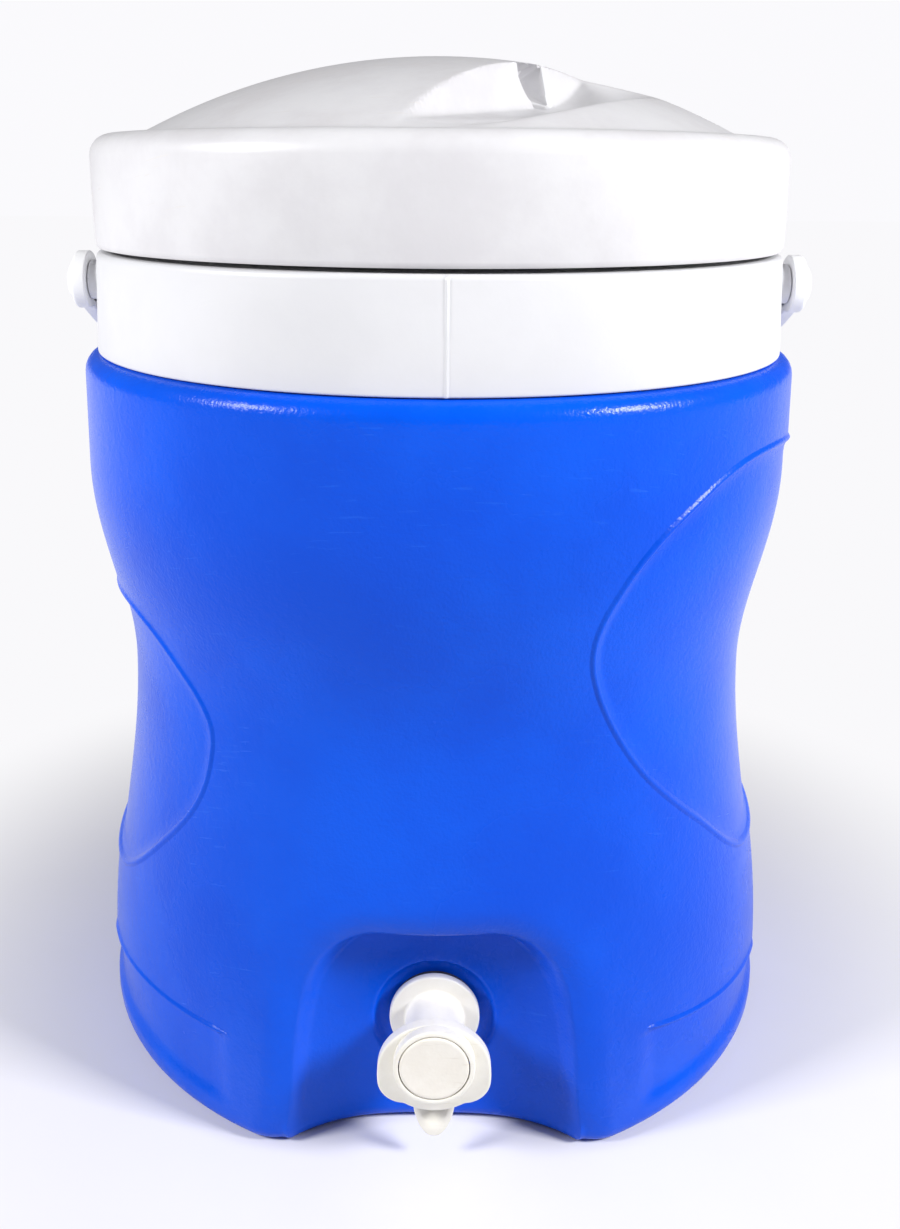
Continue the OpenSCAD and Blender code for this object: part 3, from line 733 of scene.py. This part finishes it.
corner_a = np.radians(np.linspace(0, 90, 40))
outline = np.concatenate([
    np.stack([19.6 * np.cos(corner_a * 2), -4.6 + 18.5 * np.sin(corner_a * 2)], -1),
    np.stack([-10.6 - 9 * np.cos(corner_a), -8.3 - 9 * np.sin(corner_a)], -1),
    np.stack([10.6 + 9 * np.sin(corner_a), -8.3 - 9 * np.cos(corner_a)], -1)])
bearing = np.arctan2(outline[:, 1], outline[:, 0])
order = np.argsort(bearing)
phi = np.linspace(-np.pi, np.pi, 144, endpoint=False)
reach = np.interp(phi, bearing[order], np.hypot(*outline.T)[order], period=2 * np.pi)
plate_section = softened([(0, 0), (1, 0), (1, 1), (0, 1)], [0.02, 0.16, 0.16, 0.02], 6)
depth = PLATE_Y + plate_section[:, 1:] * PLATE_T
radius = SEAT_R + (reach[None] - SEAT_R) * plate_section[:, :1]
curl = 1.1 * ease((radius - 14.5) / 5.5)
patches.append((np.stack([
    radius * np.cos(phi), -(depth - curl * 0.55) + 0 * radius, SPIGOT_Z + radius * np.sin(phi)], -1), True))

SPOUT_R = 7.5
SPOUT_BORE = 5.5
SPOUT_TILT = math.radians(27)
SPOUT_Y = 122
MOUTH_Y = 131.5
ROOT_R = 9.5
BLIND_R = 9.9
spin = np.linspace(0, 2 * np.pi, 80, endpoint=False)
down = np.array([-math.sin(SPOUT_TILT), -math.cos(SPOUT_TILT)])
front = np.array([-math.cos(SPOUT_TILT), math.sin(SPOUT_TILT)])


def spout_ring(radius, share, back=0.0, root=ROOT_R):
    """A ring round the slanted spout, share of the way from its root to the mouth's upright plane. No
    point goes past that plane, or above a cylinder of the root's radius in the barrel's wall."""
    base = np.array([-SPOUT_Y, SPIGOT_Z]) + radius * np.cos(spin)[:, None] * front
    run = np.maximum((-MOUTH_Y - base[:, 0]) / down[0], 0) * share - back
    x = radius * np.sin(spin)
    y = base[:, 0] + run * down[0]
    z = base[:, 1] + run * down[1]
    return np.stack([x, np.maximum(y, -MOUTH_Y), np.minimum(z, SPIGOT_Z - np.sqrt(root**2 - x**2))], -1)


spout = [spout_ring(SPOUT_R, share) for share in np.linspace(0.1, 0.9, 9)]
spout += [spout_ring(SPOUT_R, 1, 0.7), spout_ring(SPOUT_R - 0.15, 1, 0.25), spout_ring(SPOUT_R - 0.55, 1)]
spout += [spout_ring(SPOUT_BORE + 0.55, 1), spout_ring(SPOUT_BORE + 0.15, 1, 0.25)]
spout += [spout_ring(SPOUT_BORE, share, 0.7, BLIND_R) for share in np.linspace(1, 0.2, 9)]
spout.append(spout_ring(0.01, 0.2, 0, BLIND_R))
spout.append(spout_ring(0.01, 0.1))
patches.append((np.array(spout), True))
spigot = skin("spigot_moulding", *patches)
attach(spigot, "jug")
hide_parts("spigot_body")
ivory = moulded(
    "spigot_ivory", (0.86, 0.84, 0.78), (0.8, 0.77, 0.69), (0.66, 0.62, 0.52), (0.5, 0.45, 0.36),
    rough=0.36, grains=1100.0, grain_depth=0.12, mottle=0.7, mottle_scale=60.0, rubs=0.3, dust=0.35,
    everywhere=0.3, subsurface=0.08)
dress(spigot, ivory)

# ---------------------------------------------------------------------------------------------------
# The spigot's ring and push button. The ivory ring snaps into the finger plate, and the button slides in
# it with a narrow gap all round.

RING_R = 14
RING_BORE = 12.3
BUTTON_R = 12
BUTTON_FRONT = 141.2

ring_section = softened(
    [(RING_BORE, -135.5), (SEAT_R - 0.05, -135.5), (SEAT_R - 0.05, -137), (RING_R, -137), (RING_R, -141),
     (RING_BORE, -141)], [0.1, 0.3, 0.1, 0.2, 1.5, 0.35], 6)
ring_piece = skin("spigot_ring", turned(ring_section, (0, 0, SPIGOT_Z), "Y", 120))
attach(ring_piece, "jug")
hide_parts("spigot_bezel")
dress(ring_piece, ivory)

dish = np.linspace(0, 1, 14)
button_section = np.concatenate([
    np.stack([(BUTTON_R - 1) * dish, -BUTTON_FRONT + 0.35 - 0.35 * dish**3], -1),
    [(BUTTON_R - 0.6, -BUTTON_FRONT + 0.05), (BUTTON_R - 0.2, -BUTTON_FRONT + 0.3),
     (BUTTON_R, -BUTTON_FRONT + 0.7), (BUTTON_R, -138.4), (BUTTON_R - 0.2, -138.2), (8.4, -138.2),
     (8.4, -135.3), (8.3, -135.2), (7.5, -135.2), (7.4, -135.3), (7.4, -138.2), (4, -138.2), (4, -133.4),
     (3.8, -133.2), (2.5, -133.2), (2.5, -138.4), (0, -138.4)]])
button = skin("push_button", turned(button_section, (0, 0, SPIGOT_Z), "Y", 120, ring=False))
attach(button, "button")
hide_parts("spigot_button")
button_white = moulded(
    "button_white", (0.84, 0.81, 0.75), (0.79, 0.75, 0.68), (0.66, 0.61, 0.52), (0.5, 0.45, 0.36),
    rough=0.42, grains=1000.0, grain_depth=0.3, mottle=0.8, mottle_scale=90.0, rubs=0.4, dust=0.4,
    everywhere=0.35)
dress(button, button_white)

# ---------------------------------------------------------------------------------------------------
# The valve's rod and clip, its coil spring of stainless wire, and the white nut inside the vessel. The
# spring stands on the spigot's web and is pressed together by the button.

steel = bpy.data.materials.new("spring_steel")
steel.use_nodes = True
steel_tree = steel.node_tree
steel_shader = steel_tree.nodes["Principled BSDF"]
steel_place = add(steel_tree, "TexCoord").outputs["Object"]
drawn = add(steel_tree, "TexNoise", {"Vector": steel_place, "Scale": 900.0, "Detail": 3.0})
steel_tree.links.new(tint(steel_tree, drawn.outputs[0], (0.5, 0.5, 0.52), (0.68, 0.68, 0.7)),
                     steel_shader.inputs["Base Color"])
steel_tree.links.new(
    remap(steel_tree, drawn.outputs[0], 0.3, 0.7, 0.2, 0.38), steel_shader.inputs["Roughness"])
steel_shader.inputs["Metallic"].default_value = 1.0

WIRE_R = 0.45
COIL_R = 5.6
COILS = 6
COIL_BACK = 126  # where the coil stands on the spigot's web
COIL_FRONT = 138.2

wire_turns = np.linspace(0, 2 * np.pi * COILS, 36 * COILS + 1)[:, None]
wire_round = (np.arange(12) * 2 * np.pi / 12)[None]
wire = np.full_like(wire_turns, WIRE_R)
wire[[0, -1]] = 0
coil_r = COIL_R + wire * np.cos(wire_round)
coil_y = COIL_BACK + WIRE_R + (COIL_FRONT - COIL_BACK - 2 * WIRE_R) * wire_turns / wire_turns[-1]
coil = np.stack([
    coil_r * np.cos(wire_turns), -coil_y + wire * np.sin(wire_round),
    SPIGOT_Z + coil_r * np.sin(wire_turns)], -1)
return_spring = skin("return_spring", (coil, False))
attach(return_spring, "jug")
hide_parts("spigot_spring")
dress(return_spring, steel)
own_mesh(return_spring)
for name in ("spigot_stem", "seal_clip", "lock_nut"):
    dress(nodes[name], button_white)

# ---------------------------------------------------------------------------------------------------
# The studio: a pale floor that fades to white away from the jug, a soft lamp to the front left and a
# stronger one to the front right, and a camera a little above the jug's shoulder.

floor_mesh = bpy.data.meshes.new("floor")
floor_mesh.from_pydata([(-9, -9, 0), (9, -9, 0), (9, 9, 0), (-9, 9, 0)], [], [(0, 1, 2, 3)])
floor = bpy.data.objects.new("floor", floor_mesh)
bpy.context.scene.collection.objects.link(floor)
floor_paint = bpy.data.materials.new("floor_paint")
floor_paint.use_nodes = True
floor_tree = floor_paint.node_tree
floor_shader = floor_tree.nodes["Principled BSDF"]
floor_place = add(floor_tree, "TexCoord").outputs["Object"]
floor_cloud = add(floor_tree, "TexNoise", {"Vector": floor_place, "Scale": 14.0, "Detail": 4.0})
floor_tree.links.new(
    tint(floor_tree, floor_cloud.outputs[0], (0.76, 0.745, 0.755), (0.82, 0.805, 0.81)),
    floor_shader.inputs["Base Color"])
floor_shader.inputs["Roughness"].default_value = 0.45
away = add(floor_tree, "VectorMath", {0: floor_place}, operation="LENGTH").outputs["Value"]
glow = add(floor_tree, "Emission", {"Color": (0.95, 0.945, 0.965, 1), "Strength": 1.0})
blended = add(floor_tree, "MixShader", {
    0: remap(floor_tree, away, 0.13, 0.33), 1: floor_shader.outputs[0], 2: glow.outputs[0]})
floor_tree.links.new(blended.outputs[0], floor_tree.nodes["Material Output"].inputs["Surface"])
dress(floor, floor_paint)

world = bpy.data.worlds.new("studio")
bpy.context.scene.world = world
world.use_nodes = True
sky = world.node_tree
sky_light = sky.nodes["Background"]
sky_light.inputs["Color"].default_value = (0.97, 0.98, 1.0, 1)
sky_light.inputs["Strength"].default_value = 0.15
seen = add(sky, "Background", {"Color": (0.96, 0.955, 0.98, 1), "Strength": 1.0})
ray = add(sky, "LightPath")
pick = add(sky, "MixShader", {0: ray.outputs["Is Camera Ray"], 1: sky_light.outputs[0], 2: seen.outputs[0]})
sky.links.new(pick.outputs[0], sky.nodes["World Output"].inputs["Surface"])


def lamp(name, place, aim, size, power):
    """A soft square lamp that faces a point."""
    light = bpy.data.lights.new(name, "AREA")
    light.size = size
    light.energy = power
    lamp_object = bpy.data.objects.new(name, light)
    bpy.context.scene.collection.objects.link(lamp_object)
    away = Vector(place) - Vector(aim)
    lamp_object.matrix_world = Matrix.Translation(place) @ away.to_track_quat("Z", "Y").to_matrix().to_4x4()


LAMP_AIM = (0, 0, 0.2)
LAMP_SIZE = 0.24
lamp("side_right", (0.88, -0.5, 0.74), LAMP_AIM, LAMP_SIZE, 15.5)
lamp("side_left", (-0.88, -0.5, 0.74), LAMP_AIM, LAMP_SIZE, 11.5)

camera_data = bpy.data.cameras.new("camera")
camera_data.lens = 36.82
camera_data.sensor_width = 36
camera_data.shift_x = 0.0095
camera_data.shift_y = -0.1428
camera = bpy.data.objects.new("camera", camera_data)
bpy.context.scene.collection.objects.link(camera)
camera.matrix_world = (
    Matrix.Translation((0, -0.5134, 0.3421)) @ Matrix.Rotation(math.radians(78), 4, "X")
    @ Matrix.Rotation(math.radians(0.38), 4, "Z"))
bpy.context.scene.camera = camera
bpy.context.scene.view_settings.view_transform = "Standard"
